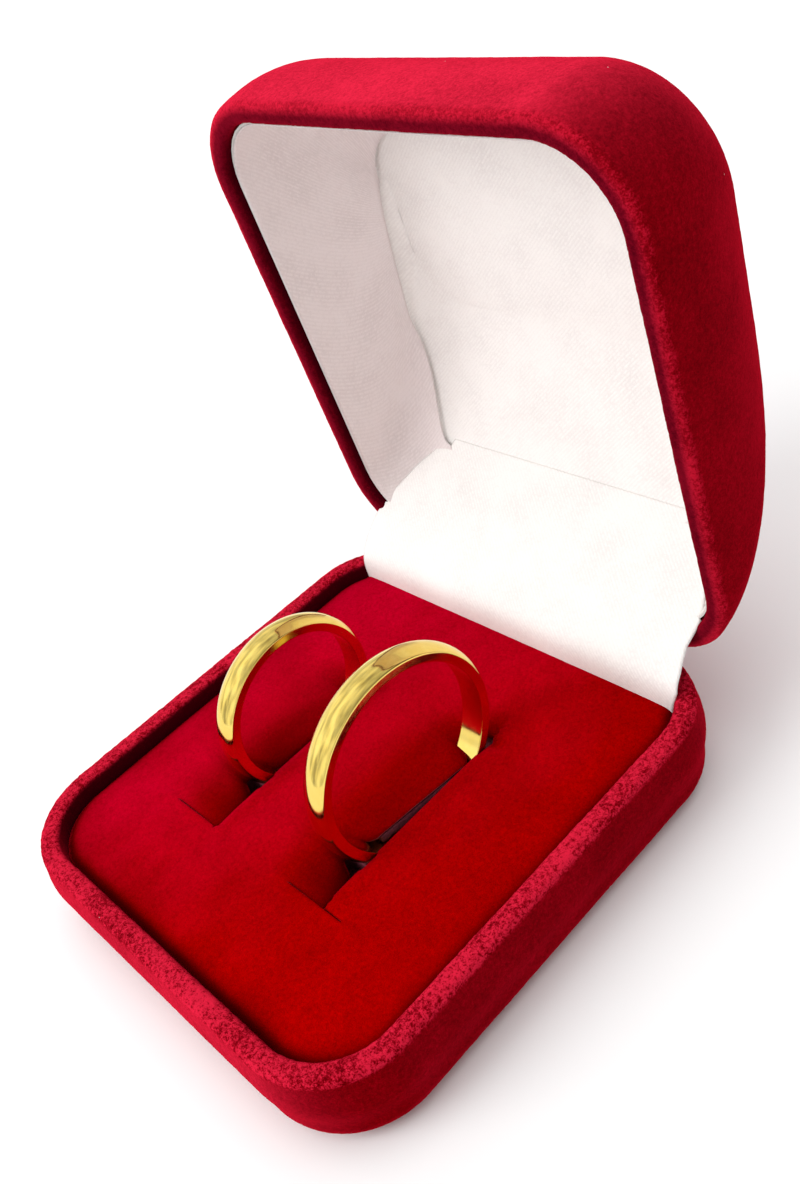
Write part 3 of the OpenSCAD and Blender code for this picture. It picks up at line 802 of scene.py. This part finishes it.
SLOTS = [
    Slot("band_large", (-3.7, 4.7), (1.5, 0.85, 0.3), [
        (CROSS_Y, 0.8), (-12.5, 1.15), (-10, 1.5), (-8.5, 1.3), (-7, 0.8), (-5, 0.3), (0, 0.2), (6, 0.35),
        (8.6, 0.8), (10.8, 0.8), (12.5, 0.35), (14, 0)]),
    Slot("band_small", (-5.4, 1.35), (1.0, 0.5, 0.3), [
        (CROSS_Y, 0.7), (-12, 1.1), (-8.5, 1.4), (-6, 1.2), (-4, 1.0), (0, 0.8), (5, 0.6),
        (9.6, 0.8), (11.5, 0.3), (13, 0)]),
]


def pad_outline():
    """The pad's outline: the case's, drawn in, and cut off along the hinge flap."""
    ring = case_loop(-PAD_INSET, PAD_TOP)[:, :2]
    keep = ring[:, 1] <= PAD_BACK
    first = np.argmax(keep & ~np.roll(keep, 1))
    kept = np.roll(ring, -first, 0)[:keep.sum()]
    back = np.linspace(kept[-1, 0], kept[0, 0], int(np.ptp(kept[[0, -1], 0]) / 0.35))[1:-1]
    return np.concatenate([kept, np.stack([back, np.full(len(back), PAD_BACK)], -1)])


def inside(points, outline):
    """Whether each point lies in a closed outline."""
    x, y = points[:, :1], points[:, 1:]
    a, b = outline, np.roll(outline, -1, 0)
    crosses = (a[:, 1] > y) != (b[:, 1] > y)
    run = np.where(crosses, b[:, 1] - a[:, 1], 1)
    return (crosses & (x < a[:, 0] + (y - a[:, 1]) * (b[:, 0] - a[:, 0]) / run)).sum(1) % 2 == 1


def nearest(points, others):
    """Distance from each point to the nearest of others."""
    rows = [np.hypot(*(chunk[:, None] - others).transpose(2, 0, 1)).min(1) for chunk in np.array_split(points, 24)]
    return np.concatenate(rows)


def pad_plan():
    """Triangles over the pad, with holes where it is cut, and each point's distance from the pad's edge."""
    edge, cuts = pad_outline(), [slot.outline() for slot in SLOTS]
    xs = np.arange(-CASE_W / 2, CASE_W / 2, PAD_STEP)
    ys = np.arange(-CASE_D / 2, CASE_D / 2, PAD_STEP * math.sqrt(3) / 2)
    grid = np.stack(np.meshgrid(xs, ys), -1)
    grid[1::2, :, 0] += PAD_STEP / 2
    grid = grid.reshape(-1, 2)
    lines = np.concatenate([edge, *cuts])
    free = inside(grid, edge) & ~inside(grid, cuts[0]) & ~inside(grid, cuts[1])
    grid = grid[free]
    grid = grid[nearest(grid, lines) > PAD_STEP * 0.55]
    bounds, at = [], 0
    for line in (edge, *cuts):
        bounds += [(at + i, at + (i + 1) % len(line)) for i in range(len(line))]
        at += len(line)
    coords = [Vector(p) for p in np.concatenate([lines, grid]).tolist()]
    found, _, faces, *_ = delaunay_2d_cdt(coords, bounds, [], 0, 1e-5)
    flat = np.array([tuple(v) for v in found])
    faces = np.array([f for f in faces if len(f) == 3])
    middle = flat[faces].mean(1)
    keep = inside(middle, edge) & ~inside(middle, cuts[0]) & ~inside(middle, cuts[1])
    return flat, faces[keep], nearest(flat, edge[edge[:, 1] < PAD_BACK - 0.1])


def pad_held(flat):
    """Where the skin of the pad is held: at its edge, and along its cuts."""
    edge, cuts = pad_outline(), [slot.outline() for slot in SLOTS]
    held = ~inside(flat, edge) | (nearest(flat, edge) < 0.9)
    for cut in cuts:
        held |= inside(flat, cut) | (nearest(flat, cut) < 0.8)
    return held


def pad_height(flat, from_edge):
    x, y = flat.T
    z = np.full(len(flat), PAD_TOP) + 0.05 * lumps(np.column_stack([x, y, 0 * x]), 13, 2)
    z += 0.012 * lumps(np.column_stack([x, y, 0 * x]), 1.1, 5)
    z += billow(PAD_LOW[:2], PAD_HIGH[:2], pad_held, 0.3)(x, y)
    z -= 0.55 * np.exp(-(from_edge / 0.6) ** 2) + 0.25 * np.exp(-from_edge / 2.2)
    pressed = sum(slot.pressed(x, y) for slot in SLOTS)
    # Painted shade, partly pressed pile: darker where the pad is pressed down, and painted shade in the dip along the
    # pad's edge by the rim wall.
    shade = np.clip(pressed, 0, 1.2) / 1.2 + 0.9 * np.exp(-(from_edge / 0.9) ** 2) + 0.35 * np.exp(-from_edge / 3)
    # Painted shade inside each ring, and just behind each cross cut in front of the leg.
    for slot in SLOTS:
        middle = sum(sum(slot.legs, ())) / 4
        shade += 0.42 * np.exp(-((x - slot.x + 2.2) / 4) ** 2 - ((y - middle) / 9.5) ** 4)
        shade += 0.35 * np.exp(-((x - slot.x + 2) / 3.4) ** 2 - ((y - CROSS_Y - 2.2) / 2.4) ** 2)
    across = np.column_stack([x, y, 0 * x])
    shade += 0.16 * lumps(across, 9, 6) + 0.12 * lumps(across * (1, 0.35, 1), 2.6, 9)
    # Painted sheen share on the pad: more to the left and towards the back, in random patches, and less where painted
    # shade is.
    nap_and_sheen = 0.36 - x / 50 + y / 160 + 0.15 * lumps(across * (1, 0.5, 1), 7, 3)
    shade = np.clip(shade, 0, 1)
    return z - pressed, {"crush_and_painted_shade": shade, "nap_and_sheen": np.clip(nap_and_sheen - 0.7 * shade, 0, 1)}


def edge_pairs(faces):
    """Edges that only one triangle uses, in that triangle's direction."""
    pairs = np.concatenate([faces[:, [0, 1]], faces[:, [1, 2]], faces[:, [2, 0]]])
    keys = np.sort(pairs, 1)
    _, at, count = np.unique(keys, axis=0, return_index=True, return_counts=True)
    return pairs[at[count == 1]]


def pad_skin(flat, faces, z, shade):
    points = np.column_stack([flat, z])
    obj = make("pad_skin", points, faces, [PAD_VELVET, RAW_EDGE], uv=flat, values=shade, closed=False)
    modifier(obj, "SOLIDIFY", thickness=SKIN_T * MM, offset=-1, material_offset_rim=1)
    return obj


def pad_foam(flat, faces, z):
    """The CAD's foam block, with a lip on top that follows the skin and closes in over the bands."""
    n = len(flat)
    middle = flat[faces].mean(1)
    for slot in SLOTS:
        x, y = middle.T
        away = np.where(y < slot.legs[0][0] + 0.4, 1.8, 0.0)
        by_leg = (np.abs(x - slot.x) < LEG_ASIDE) & ((y < slot.reach[0] + 0.1) | (y > slot.reach[1] - 0.1))
        by_leg &= y > slot.legs[0][0]
        beside = (x > slot.left(y) - away) & (x < slot.right(y) + 0.4)
        cut = (beside | by_leg) & (y > CROSS_Y - 0.3) & (y < slot.end)
        cross = (np.abs(y - CROSS_Y) < 0.4) & (x > slot.x + slot.cross[0]) & (x < slot.x + slot.cross[1])
        faces = faces[~(cut | cross)]
        middle = flat[faces].mean(1)
    top = np.column_stack([flat, z - SKIN_T - 0.03])
    bottom = np.column_stack([flat, np.full(n, LIP_BOTTOM)])
    rim = edge_pairs(faces)
    walls = np.concatenate([
        np.stack([rim[:, 1], rim[:, 0], rim[:, 0] + n], -1), np.stack([rim[:, 1], rim[:, 0] + n, rim[:, 1] + n], -1)
    ])
    core, core_faces = foam_core()
    points = np.concatenate([top, bottom, core])
    sides = [tuple(f) for f in np.concatenate([faces, faces[:, ::-1] + n, walls])]
    obj = make("pad_foam", points, sides + [tuple(i + 2 * n for i in f) for f in core_faces], FOAM, closed=False)
    modifier(obj, "REMESH", mode="VOXEL", voxel_size=0.28 * MM, use_smooth_shade=True)
    applied(obj)
    return obj


def foam_core():
    """Points and faces of the CAD's foam, cut down to just above the lip's underside, and hollowed
    in front of each band, where the pad gapes."""
    core = vertices_mm("ring_pad_foam")
    core[:, 2] = np.minimum(core[:, 2], LIP_BOTTOM + 0.3)
    polygons = [tuple(p.vertices) for p in frame["nodes"]["ring_pad_foam"].data.polygons]
    obj = make("core", core, polygons, FOAM)
    for slot in SLOTS:
        front = slot.legs[0][0]
        hollow(obj, (slot.x - 2.6, front - 2.4, 4.6), (slot.x + 1.7, front + 1.0, PAD_TOP))
    points = np.array([v.co for v in obj.data.vertices]) / MM
    found = [tuple(p.vertices) for p in obj.data.polygons]
    bpy.data.objects.remove(obj)
    return points, found


def hollow(obj, low, high):
    """Cuts a block between two corners out of obj."""
    x, y, z = np.array([low, high]).T
    corners = [(i, j, k) for k in z for i, j in ((x[0], y[0]), (x[1], y[0]), (x[1], y[1]), (x[0], y[1]))]
    sides = [(3, 2, 1, 0), (4, 5, 6, 7), (0, 1, 5, 4), (1, 2, 6, 5), (2, 3, 7, 6), (3, 0, 4, 7)]
    cutter = make("cutter", corners, sides, [])
    modifier(obj, "BOOLEAN", operation="DIFFERENCE", object=cutter, solver="EXACT", use_self=True)
    applied(obj)
    bpy.data.objects.remove(cutter)


def applied(obj):
    """Replaces the mesh of obj with what its modifiers make of it."""
    bpy.context.view_layer.update()
    made = bpy.data.meshes.new_from_object(obj.evaluated_get(bpy.context.evaluated_depsgraph_get()))
    obj.modifiers.clear()
    obj.data = made


def pad():
    flat, faces, from_edge = pad_plan()
    z, shade = pad_height(flat, from_edge)
    skin = place(pad_skin(flat, faces, z, shade), "base", "pad_velvet", "ring_pad_velvet")
    foam = place(pad_foam(flat, faces, z), "base", "foam", "ring_pad_foam")


pad()

# ---- lining of the lid --------------------------------------------------------

SATIN_T = 0.15
CEILING_T = 2.08
SIDE_T = 2.88
SIDE_FROM = 1.3
CREASE_FRONT = 16.0
CREASE_SIDE = 14.2
CREASE_DROP = 4.7
WADDING_T = (1.64, 1.88)
LEAF_CUT = 7


def crease():
    """Height of the crease between the side lining and the ceiling, for each point of an outline."""
    corner, u = CORNER_AT
    a = np.radians(90 * np.minimum(u, 1))
    side = np.maximum(u - 1, 0)
    back = [
        CREASE_SIDE - CREASE_DROP * np.sin(a) ** 4,
        CREASE_SIDE - CREASE_DROP * np.cos(a) ** 4 + (CREASE_FRONT - CREASE_SIDE) * side,
        np.full(len(u), CREASE_FRONT),
        CREASE_FRONT - (CREASE_FRONT - CREASE_SIDE) * side,
    ]
    return np.choose(corner.astype(int), back)


def ring_lengths(ring):
    step = np.linalg.norm(np.diff(ring, axis=0, append=ring[:1]), axis=1)
    return np.concatenate([[0], np.cumsum(step)[:-1]])


def side_lining():
    """Satin round the lid's wall, from just inside the rim up to the crease."""
    corner, u = CORNER_AT
    at_back = np.clip((CREASE_SIDE - crease()) / CREASE_DROP, 0, 1)
    behind_flap = (corner == 0) * np.clip(np.minimum(u - 1, 2 - u) / 0.1, 0, 1)
    top = crease() - 0.1 + 1.8 * at_back * (1 - at_back) - 1.8 * behind_flap
    low = SIDE_FROM + 3 * np.sqrt(at_back) * np.clip(case_loop(0, 0)[:, 0] / 8, 0, 1)
    shares = np.linspace(0, 1, 44)
    rows = np.stack([dome_at(SIDE_T, low + (top - low) * s) for s in shares])
    n = rows.shape[1]
    rows += normals_of(rows) * (0.05 * lumps(rows, 9, 4))[..., None]
    along = ring_lengths(rows[20])
    uv = np.stack([np.broadcast_to(along, rows.shape[:2]), rows[..., 2]], -1).reshape(-1, 2)
    points = rows.reshape(-1, 3)
    faces = tube_faces(len(rows), n)
    middle = points[faces].mean(1)
    at_leaf = (np.abs(middle[:, 0]) < LEAF_ROOM / 2) & (middle[:, 1] > -LEAF_CUT) & (middle[:, 2] < LEAF_CUT)
    obj = make("lid_side_lining", opened(points), faces[~at_leaf], SHADED_SIDE_SATIN, uv=uv, closed=False)
    modifier(obj, "SOLIDIFY", thickness=SATIN_T * MM, offset=0)
    return obj


def ceiling(name, t, curl, wrinkle, loose, material, thick):
    """A dish under the top of the dome. Its edge curls inwards by curl where it meets the side
    lining, and its middle swells by loose."""
    low = crease()
    at_side = 1 - np.clip((CREASE_SIDE - low) / CREASE_DROP, 0, 1) ** 4
    rows = []
    for share in np.linspace(0, 1, 64):
        s = math.sin(math.pi / 2 * share)
        near = math.exp(-(share / 0.035) ** 2)
        depth = t + curl * near * at_side
        rows.append(dome_at(depth, low + (LID_H - depth - low) * s - 0.3 * near * at_side))
    rows = np.stack(rows)
    from_edge = np.linspace(0, 1, 64)[:, None]
    rows -= normals_of(rows) * (wrinkle * lumps(rows, 6, 8) * from_edge * (1 - from_edge) * 3)[..., None]
    cap, cap_faces = patch(rows[-1], (len(rows) - 1) * rows.shape[1], rows.shape[0] * rows.shape[1])
    cap[:, 2] += wrinkle * lumps(cap, 9, 2)
    if loose:
        edge = rows[6, ::4, :2]
        held = lambda flat: ~inside(flat, edge) | (nearest(flat, edge) < 1)
        rise = billow(edge.min(0) - 1, edge.max(0) + 1, held, loose)
        rows -= normals_of(rows) * rise(rows[..., 0], rows[..., 1])[..., None]
        cap[:, 2] -= rise(cap[:, 0], cap[:, 1])
    points = np.concatenate([rows.reshape(-1, 3), cap])
    faces = np.concatenate([tube_faces(len(rows), rows.shape[1]), cap_faces])
    uv = points[:, :2]
    obj = make(name, opened(points), faces, material, uv=uv, closed=False)
    modifier(obj, "SOLIDIFY", thickness=thick * MM, offset=0)
    return obj


def lining():
    side = place(side_lining(), "lid", "satin", "lid_side_satin")
    top = place(ceiling("lid_ceiling", CEILING_T, 0.75, 0.07, 0.35, WHITE_SATIN, SATIN_T), "lid", "satin", "lid_top_satin")
    thick = WADDING_T[1] - WADDING_T[0]
    filling = ceiling("ceiling_wadding", sum(WADDING_T) / 2, 0, 0.03, 0, WADDING, thick)
    place(filling, "lid", "wadding", "lid_top_wadding")


lining()

# ---- hinge flap and spring ----------------------------------------------------

FLAP_T = 0.3
FLAP_LEFT = ((9, 23.2), (12.5, 23.5), (15.3, 24.3), (16.8, 23.7), (19.4, 21.6), (21.3, 19.3), (22.4, 18.2))
FLAP_RIGHT = ((9, 23.6), (11.5, 24.2), (13.2, 24.0), (14.8, 23.4), (16.3, 23.6), (19.4, 21.7), (21.3, 19.3), (22.4, 18.2))


def bezier(p, n):
    u = np.linspace(0, 1, n)[:, None]
    p = [np.array(q) for q in p]
    return (1 - u) ** 3 * p[0] + 3 * (1 - u) ** 2 * u * p[1] + 3 * (1 - u) * u * u * p[2] + u ** 3 * p[3]


def wall_x(v, w, t):
    """Half the width between the lid's walls in layer t, at the place (v, w) of the shut lid."""
    corner, u = CORNER_AT
    back = dome_at(t, w)[(corner == 0) & (u <= 1)]
    return np.interp(v, back[:, 1], back[:, 0])


def strip(name, path, left, right, across, material, thick):
    """A strip of sheet along a path of (y, z), reaching that far to each side, with its UVs."""
    step = np.linalg.norm(np.diff(path, axis=0), axis=1)
    along = np.concatenate([[0], np.cumsum(step)])
    share = np.linspace(0, 1, across)
    x = (left + right)[:, None] * share - left[:, None]
    y, z = (np.broadcast_to(path[:, k:k + 1], x.shape) for k in (0, 1))
    points = np.stack([x, y, z], -1)
    uv = np.stack([x, np.broadcast_to(along[:, None], x.shape)], -1).reshape(-1, 2)
    i = np.arange((len(path) - 1) * across).reshape(-1, across)[:, :-1].ravel()
    faces = np.stack([i, i + 1, i + across + 1, i + across], -1)
    obj = make(name, points.reshape(-1, 3), faces, material, uv=uv, closed=False)
    modifier(obj, "SOLIDIFY", thickness=thick * MM, offset=0)
    applied(obj)
    return obj


def flap():
    """Satin from the back of the pad, in a soft fold, up to the lining of the lid."""
    fold = bezier([(23.64, 8.7), (23.60, 12.0), (23.9, 12.6), (27.2, 14.6)], 46)
    rise = bezier([(27.2, 14.6), (31.0, 16.9), (35.5, 19.6), (38.75, 22.0)], 60)[1:]
    path = np.concatenate([fold, rise])
    v_w = shut(np.column_stack([0 * path[:, 0], path]))[:, 1:]
    wall = np.array([wall_x(v, w, 2.6) - 0.05 if w > 1.2 else 99 for v, w in v_w])
    left, right = (np.minimum(np.interp(path[:, 1], *np.array(p).T), wall) for p in (FLAP_LEFT, FLAP_RIGHT))
    return strip("hinge_flap", path, left, right, 150, WHITE_SATIN, FLAP_T)


def spring():
    low, high = box_mm("hinge_spring")
    back, drop = HINGE_Y - high[1], low[2] - HINGE_Z
    end = opened([0, -5.2, 5.2])[1:] - (HINGE_Y, HINGE_Z)
    path = bezier([(-2.65, -4.2), (-5.2, 1.5), (-1.6, 3.4), end], 70) + (HINGE_Y, HINGE_Z)
    half = np.full(len(path), (high[0] - low[0]) / 2)
    return strip("bow_spring", path, half, half, 24, STEEL, 0.25)


def hinge_soft():
    cloth, bow = flap(), spring()
    place(cloth, None, "satin", "satin_hinge_flap")
    place(bow, None, "hinge_steel", "hinge_spring")
    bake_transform(cloth)
    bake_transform(bow)


hinge_soft()

# ---- plain materials on the CAD pieces that stay ------------------------------

FINISHES = {
    "base_shell": SHELL, "lid_shell": SHELL, "base_underside_sheet": PAPER, "pad_board": CARD,
    "hinge_leaf_base": STEEL, "hinge_leaf_lid": STEEL, "hinge_rivets_base": STEEL, "hinge_rivets_lid": STEEL,
    "hinge_pin": STEEL, "lid_top_card": CARD, "lid_side_card": CARD,
}
for node, material in FINISHES.items():
    obj = frame["nodes"][node]
    obj.data.materials.clear()
    obj.data.materials.append(material)

# ---- floor, light and camera --------------------------------------------------

IMAGE_H = 1184
FOCAL = 1177.6
SENSOR = 36
CAMERA_AT = Vector((0.08167, -0.03925, 0.09814))
AZIMUTH, ELEVATION, ROLL = (math.radians(a) for a in (-57.68, -37.31, -19.72))


def camera():
    forward = Vector((
        math.sin(AZIMUTH) * math.cos(ELEVATION), math.cos(AZIMUTH) * math.cos(ELEVATION), math.sin(ELEVATION)
    ))
    right = forward.cross(Vector((0, 0, 1))).normalized()
    up = right.cross(forward)
    tilted_right = math.cos(ROLL) * right + math.sin(ROLL) * up
    tilted_up = math.cos(ROLL) * up - math.sin(ROLL) * right
    data = bpy.data.cameras.new("camera")
    data.sensor_width = SENSOR
    data.lens = FOCAL * SENSOR / IMAGE_H
    data.clip_start = 0.005
    obj = bpy.data.objects.new("camera", data)
    turn = Matrix((tilted_right, tilted_up, -forward)).transposed().to_4x4()
    obj.matrix_world = Matrix.Translation(CAMERA_AT) @ turn
    bpy.context.scene.collection.objects.link(obj)
    bpy.context.scene.camera = obj


def area_light(name, at, towards, size, power, colour=(1, 1, 1)):
    data = bpy.data.lights.new(name, "AREA")
    data.shape = "DISK"
    data.size = size
    data.energy = power
    data.color = colour
    obj = bpy.data.objects.new(name, data)
    obj.location = at
    obj.rotation_mode = "QUATERNION"
    obj.rotation_quaternion = (Vector(towards) - Vector(at)).to_track_quat("-Z", "Y")
    bpy.context.scene.collection.objects.link(obj)
    obj.visible_glossy = False


def floor():
    half = 8.0
    s = Shader("floor_paper")
    s.set(Base_Color=s.ramp(s.noise(900, detail=2), (0.3, (0.93, 0.93, 0.93)), (0.7, (0.95, 0.95, 0.95))), Roughness=0.9)
    mesh = bpy.data.meshes.new("floor")
    mesh.from_pydata([(-half, -half, 0), (half, -half, 0), (half, half, 0), (-half, half, 0)], [], [(0, 1, 2, 3)])
    mesh.materials.append(s.material)
    obj = bpy.data.objects.new("floor", mesh)
    bpy.context.scene.collection.objects.link(obj)


def world():
    """A pale studio, brightest at the front left and overhead, with uneven walls that polished
    metal picks up. The camera sees it plain white."""
    made = bpy.data.worlds.new("studio")
    made.use_nodes = True
    tree = made.node_tree
    coords, towards, ramp = (tree.nodes.new("ShaderNode" + k) for k in ("TexCoord", "VectorMath", "ValToRGB"))
    towards.operation = "DOT_PRODUCT"
    towards.inputs[1].default_value = (-0.26, -0.36, 0.22)
    shift = tree.nodes.new("ShaderNodeMath")
    shift.inputs[1].default_value = 0.5
    for e, (at, level) in zip(ramp.color_ramp.elements, ((0.12, 0.20), (0.85, 1.0))):
        e.position, e.color = at, (level, level, level, 1)
    tree.links.new(coords.outputs["Generated"], towards.inputs[0])
    tree.links.new(towards.outputs["Value"], shift.inputs[0])
    tree.links.new(shift.outputs[0], ramp.inputs["Fac"])
    room, patches, uneven = (tree.nodes.new("ShaderNode" + k) for k in ("TexNoise", "ValToRGB", "Mix"))
    room.inputs["Scale"].default_value = 2.2
    room.inputs["Detail"].default_value = 2
    for e, (at, level) in zip(patches.color_ramp.elements, ((0.36, 0.48), (0.62, 1.24))):
        e.position, e.color = at, (level, level, level, 1)
    uneven.data_type, uneven.blend_type = "RGBA", "MULTIPLY"
    uneven.inputs[0].default_value = 1
    tree.links.new(coords.outputs["Generated"], room.inputs["Vector"])
    tree.links.new(room.outputs["Fac"], patches.inputs["Fac"])
    tree.links.new(ramp.outputs["Color"], uneven.inputs[6])
    tree.links.new(patches.outputs["Color"], uneven.inputs[7])
    seen, plain = (tree.nodes.new("ShaderNode" + k) for k in ("LightPath", "Mix"))
    plain.data_type = "RGBA"
    plain.inputs[7].default_value = (1, 1, 1, 1)
    tree.links.new(seen.outputs["Is Camera Ray"], plain.inputs[0])
    tree.links.new(uneven.outputs[2], plain.inputs[6])
    tree.links.new(plain.outputs[2], tree.nodes["Background"].inputs["Color"])
    tree.nodes["Background"].inputs["Strength"].default_value = 1.06
    bpy.context.scene.world = made


camera()
floor()
world()
area_light("key", (-1.1, -2.6, 2.2), (0, 0, 0.02), 2.2, 52)
area_light("overhead", (0.3, 0.2, 3.0), (0, 0, 0.02), 2.6, 26)
bpy.context.scene.view_settings.view_transform = "Standard"
